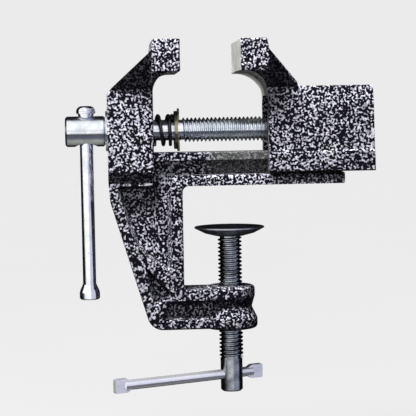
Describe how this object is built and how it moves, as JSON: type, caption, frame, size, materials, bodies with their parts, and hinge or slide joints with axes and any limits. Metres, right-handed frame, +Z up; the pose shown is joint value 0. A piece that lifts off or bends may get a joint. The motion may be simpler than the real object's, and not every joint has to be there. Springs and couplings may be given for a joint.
{
  "type": "bench vise",
  "caption": "Small clamp-on bench vise: fixed jaw cast in one with a C-clamp frame and rail, sliding rear jaw on a captive lead screw with sliding handle.",
  "frame": {"origin": "where the clamp screw's axis meets the plane of the tabletop that the base flange sits on", "axes": "+X along the lead screw from its handle towards the sliding jaw, +Y across the jaws, +Z up from the tabletop"},
  "size_m": [0.1515, 0.0514, 0.1744],
  "materials": {
    "hammertone_paint": "glossy hammertone paint, silver veins on black",
    "dark_iron": "dark cast iron",
    "zinc_steel": "bright zinc-plated steel",
    "chrome_steel": "bright plated steel",
    "black_spring": "black oxide spring steel",
    "yellow_zinc": "yellow zinc plating",
    "dark_steel": "dark plated sheet steel"
  },
  "bodies": {
    "vise_body": {"body_casting": "hammertone_paint", "thrust_washer": "zinc_steel"},
    "lead_screw": {"lead_screw": "zinc_steel", "lead_spring": "black_spring", "spring_washer": "yellow_zinc", "split_pin": "yellow_zinc"},
    "moving_jaw": {"moving_jaw": "hammertone_paint", "lead_nut": "dark_iron"},
    "handle": {"handle_bar": "chrome_steel", "handle_top_knob": "chrome_steel", "handle_low_knob": "chrome_steel"},
    "clamp_pad": {"clamp_pad": "dark_steel"},
    "clamp_screw": {"clamp_screw": "zinc_steel"},
    "clamp_handle": {"clamp_bar": "chrome_steel"}
  },
  "joints": [
    {"name": "lead_screw_turn", "type": "hinge", "parent": "vise_body", "child": "lead_screw", "pos_m": [0, 0, 0.0274], "axis": [1, 0, 0], "range_deg": [-2880, 5130]},
    {"name": "jaw_slide", "type": "slide", "parent": "vise_body", "child": "moving_jaw", "axis": [1, 0, 0], "range_m": [-0.02855, 0.01605]},
    {"name": "handle_slide", "type": "slide", "parent": "lead_screw", "child": "handle", "axis": [0, 0, 1], "range_m": [0, 0.0716]},
    {"name": "clamp_pad_slide", "type": "slide", "parent": "vise_body", "child": "clamp_pad", "axis": [0, 0, 1], "range_m": [-0.02405, 0.01805]},
    {"name": "clamp_screw_turn", "type": "hinge", "parent": "clamp_pad", "child": "clamp_screw", "pos_m": [0, 0, -0.08], "axis": [0, 0, 1], "range_deg": [-4320, 3240]},
    {"name": "clamp_bar_slide", "type": "slide", "parent": "clamp_screw", "child": "clamp_handle", "axis": [0.9205, 0.3907, 0], "range_m": [-0.0021, 0.0489]}
  ],
  "couplings": [
    {"joint": "jaw_slide", "follows": "lead_screw_turn", "m_per_rad": -0.00031831},
    {"joint": "clamp_pad_slide", "follows": "clamp_screw_turn", "m_per_rad": 0.00031831}
  ]
}
